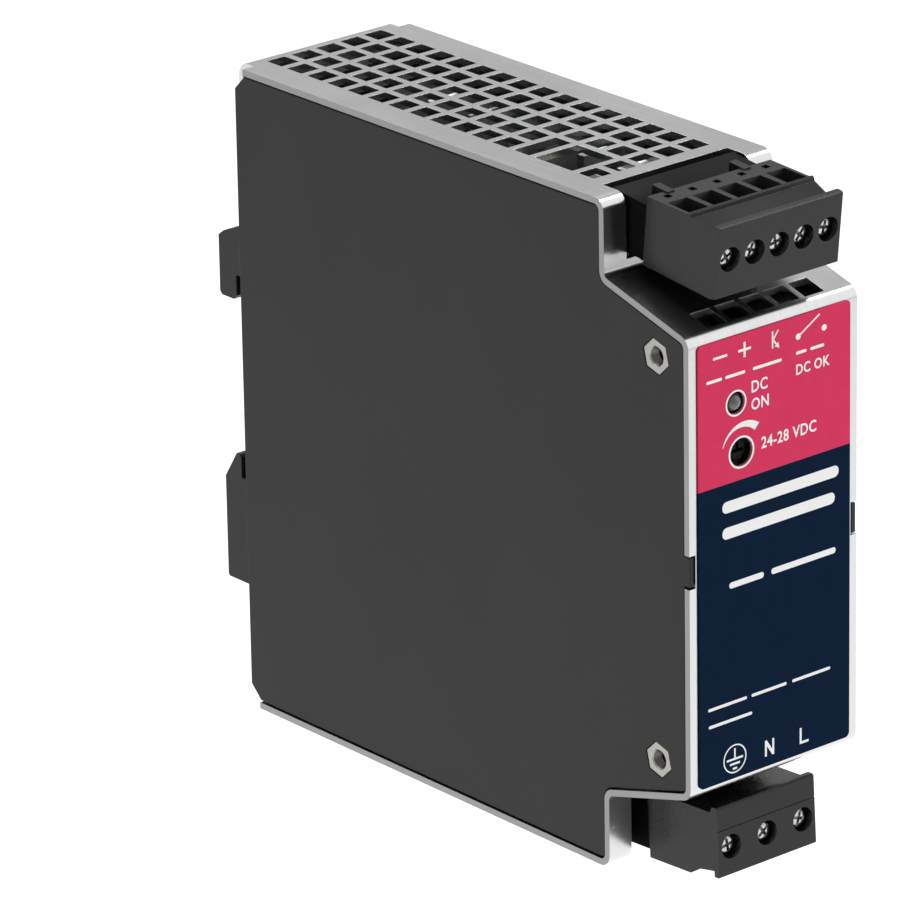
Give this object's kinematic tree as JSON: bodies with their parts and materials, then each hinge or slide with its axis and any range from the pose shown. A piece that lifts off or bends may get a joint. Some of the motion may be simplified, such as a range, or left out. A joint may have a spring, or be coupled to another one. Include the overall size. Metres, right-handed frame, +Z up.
{
  "type": "din rail power supply",
  "caption": "Narrow rail-mounted power supply: perforated folded-metal body with plastic sides, pull-off screw terminal plugs above and below, trimmer, status lamp and sprung rail clip.",
  "frame": {"origin": "centre of the flat rear seat of the rail clip that the rail's front lips rest against, midway across the width and midway between the rail's lips", "axes": "+X across the width to the right seen from the front, -Y out of the front label, +Y out of the rear towards the rail, +Z up"},
  "size_m": [0.0352, 0.121, 0.1129],
  "materials": {
    "plated_sheet": "satin plated sheet",
    "panel_plastic": "fine-textured dark grey",
    "clip_plastic": "dark grey",
    "rear_plastic": "dark grey",
    "plug_plastic": "black, semi-matt",
    "header_plastic": "black, semi-matt",
    "zinc_steel": "bright zinc plated",
    "spring_steel": "bright",
    "tinned_brass": "tin plated",
    "label_film": "printed film, satin",
    "lamp_lens": "diffusing grey",
    "trimmer_case": "moulded",
    "trimmer_rotor": "moulded",
    "board_laminate": "solder-masked laminate",
    "ferrite": "dark ground ferrite",
    "winding_tape": "polyester tape",
    "capacitor_sleeve": "shrink sleeve",
    "small_capacitor_sleeve": "shrink sleeve",
    "enamelled_copper": "enamelled wire",
    "film_capacitor_case": "moulded box",
    "heatsink_aluminium": "milled",
    "ivory_plastic": "moulded"
  },
  "bodies": {
    "housing": {"chassis_band": "plated_sheet", "side_panel_left": "panel_plastic", "side_panel_right": "panel_plastic", "rear_plate": "rear_plastic", "rail_adapter": "clip_plastic", "latch_spring": "spring_steel", "flange_screw_top": "zinc_steel", "flange_screw_bottom": "zinc_steel", "adapter_screw_left": "zinc_steel", "adapter_screw_right": "zinc_steel", "press_nut_upper": "zinc_steel", "press_nut_lower": "zinc_steel", "cover_screw_upper": "zinc_steel", "cover_screw_lower": "zinc_steel", "front_label": "label_film", "status_lamp": "lamp_lens", "trimmer_body": "trimmer_case", "header_output": "header_plastic", "terminal_board_output": "board_laminate", "pin_output_1": "tinned_brass", "pin_output_2": "tinned_brass", "pin_output_3": "tinned_brass", "pin_output_4": "tinned_brass", "pin_output_5": "tinned_brass", "header_input": "header_plastic", "terminal_board_input": "board_laminate", "pin_input_1": "tinned_brass", "pin_input_2": "tinned_brass", "pin_input_3": "tinned_brass", "main_board": "board_laminate", "transformer_core": "ferrite", "transformer_winding": "winding_tape", "bulk_capacitor": "capacitor_sleeve", "output_capacitor": "small_capacitor_sleeve", "mains_choke": "enamelled_copper", "suppression_capacitor": "film_capacitor_case", "heatsink": "heatsink_aluminium", "option_connector": "ivory_plastic"},
    "latch": {"rail_latch": "clip_plastic"},
    "trimmer": {"trimmer_rotor": "trimmer_rotor"},
    "plug_output": {"plug_output": "plug_plastic"},
    "clamp_screw_output_1": {"clamp_screw_output_1": "zinc_steel"},
    "clamp_cage_output_1": {"clamp_cage_output_1": "tinned_brass"},
    "clamp_screw_output_2": {"clamp_screw_output_2": "zinc_steel"},
    "clamp_cage_output_2": {"clamp_cage_output_2": "tinned_brass"},
    "clamp_screw_output_3": {"clamp_screw_output_3": "zinc_steel"},
    "clamp_cage_output_3": {"clamp_cage_output_3": "tinned_brass"},
    "clamp_screw_output_4": {"clamp_screw_output_4": "zinc_steel"},
    "clamp_cage_output_4": {"clamp_cage_output_4": "tinned_brass"},
    "clamp_screw_output_5": {"clamp_screw_output_5": "zinc_steel"},
    "clamp_cage_output_5": {"clamp_cage_output_5": "tinned_brass"},
    "plug_input": {"plug_input": "plug_plastic"},
    "clamp_screw_input_1": {"clamp_screw_input_1": "zinc_steel"},
    "clamp_cage_input_1": {"clamp_cage_input_1": "tinned_brass"},
    "clamp_screw_input_2": {"clamp_screw_input_2": "zinc_steel"},
    "clamp_cage_input_2": {"clamp_cage_input_2": "tinned_brass"},
    "clamp_screw_input_3": {"clamp_screw_input_3": "zinc_steel"},
    "clamp_cage_input_3": {"clamp_cage_input_3": "tinned_brass"}
  },
  "joints": [
    {"name": "latch_slide", "type": "slide", "parent": "housing", "child": "latch", "axis": [0, 0, -1], "range_m": [0, 0.004], "stiffness_N_per_m": 800, "springref_m": -0.003, "deforming": ["latch_spring"]},
    {"name": "trimmer_turn", "type": "hinge", "parent": "housing", "child": "trimmer", "pos_m": [-0.007, -0.1123, 0.0174], "axis": [0, -1, 0], "range_deg": [-135, 135]},
    {"name": "plug_output_pull", "type": "slide", "parent": "housing", "child": "plug_output", "axis": [0, -0.9945, -0.1045], "range_m": [0, 0.014]},
    {"name": "turn_output_1", "type": "hinge", "parent": "plug_output", "child": "clamp_screw_output_1", "pos_m": [-0.01016, -0.11337, 0.0499], "axis": [0, -0.9945, -0.1045], "range_deg": [0, 1080]},
    {"name": "cage_output_1", "type": "slide", "parent": "plug_output", "child": "clamp_cage_output_1", "axis": [0, 0.9945, 0.1045], "range_m": [0, 0.0015]},
    {"name": "turn_output_2", "type": "hinge", "parent": "plug_output", "child": "clamp_screw_output_2", "pos_m": [-0.00508, -0.11337, 0.0499], "axis": [0, -0.9945, -0.1045], "range_deg": [0, 1080]},
    {"name": "cage_output_2", "type": "slide", "parent": "plug_output", "child": "clamp_cage_output_2", "axis": [0, 0.9945, 0.1045], "range_m": [0, 0.0015]},
    {"name": "turn_output_3", "type": "hinge", "parent": "plug_output", "child": "clamp_screw_output_3", "pos_m": [0, -0.11337, 0.0499], "axis": [0, -0.9945, -0.1045], "range_deg": [0, 1080]},
    {"name": "cage_output_3", "type": "slide", "parent": "plug_output", "child": "clamp_cage_output_3", "axis": [0, 0.9945, 0.1045], "range_m": [0, 0.0015]},
    {"name": "turn_output_4", "type": "hinge", "parent": "plug_output", "child": "clamp_screw_output_4", "pos_m": [0.00508, -0.11337, 0.0499], "axis": [0, -0.9945, -0.1045], "range_deg": [0, 1080]},
    {"name": "cage_output_4", "type": "slide", "parent": "plug_output", "child": "clamp_cage_output_4", "axis": [0, 0.9945, 0.1045], "range_m": [0, 0.0015]},
    {"name": "turn_output_5", "type": "hinge", "parent": "plug_output", "child": "clamp_screw_output_5", "pos_m": [0.01016, -0.11337, 0.0499], "axis": [0, -0.9945, -0.1045], "range_deg": [0, 1080]},
    {"name": "cage_output_5", "type": "slide", "parent": "plug_output", "child": "clamp_cage_output_5", "axis": [0, 0.9945, 0.1045], "range_m": [0, 0.0015]},
    {"name": "plug_input_pull", "type": "slide", "parent": "housing", "child": "plug_input", "axis": [0, -0.9985, 0.0541], "range_m": [0, 0.014]},
    {"name": "turn_input_1", "type": "hinge", "parent": "plug_input", "child": "clamp_screw_input_1", "pos_m": [-0.00832, -0.11121, -0.04878], "axis": [0, -0.9985, 0.0541], "range_deg": [0, 1080]},
    {"name": "cage_input_1", "type": "slide", "parent": "plug_input", "child": "clamp_cage_input_1", "axis": [0, 0.9985, -0.0541], "range_m": [0, 0.0015]},
    {"name": "turn_input_2", "type": "hinge", "parent": "plug_input", "child": "clamp_screw_input_2", "pos_m": [-0.0007, -0.11121, -0.04878], "axis": [0, -0.9985, 0.0541], "range_deg": [0, 1080]},
    {"name": "cage_input_2", "type": "slide", "parent": "plug_input", "child": "clamp_cage_input_2", "axis": [0, 0.9985, -0.0541], "range_m": [0, 0.0015]},
    {"name": "turn_input_3", "type": "hinge", "parent": "plug_input", "child": "clamp_screw_input_3", "pos_m": [0.00692, -0.11121, -0.04878], "axis": [0, -0.9985, 0.0541], "range_deg": [0, 1080]},
    {"name": "cage_input_3", "type": "slide", "parent": "plug_input", "child": "clamp_cage_input_3", "axis": [0, 0.9985, -0.0541], "range_m": [0, 0.0015]}
  ],
  "couplings": [
    {"joint": "turn_output_1", "follows": "cage_output_1", "rad_per_m": 12566},
    {"joint": "turn_output_2", "follows": "cage_output_2", "rad_per_m": 12566},
    {"joint": "turn_output_3", "follows": "cage_output_3", "rad_per_m": 12566},
    {"joint": "turn_output_4", "follows": "cage_output_4", "rad_per_m": 12566},
    {"joint": "turn_output_5", "follows": "cage_output_5", "rad_per_m": 12566},
    {"joint": "turn_input_1", "follows": "cage_input_1", "rad_per_m": 12566},
    {"joint": "turn_input_2", "follows": "cage_input_2", "rad_per_m": 12566},
    {"joint": "turn_input_3", "follows": "cage_input_3", "rad_per_m": 12566}
  ]
}
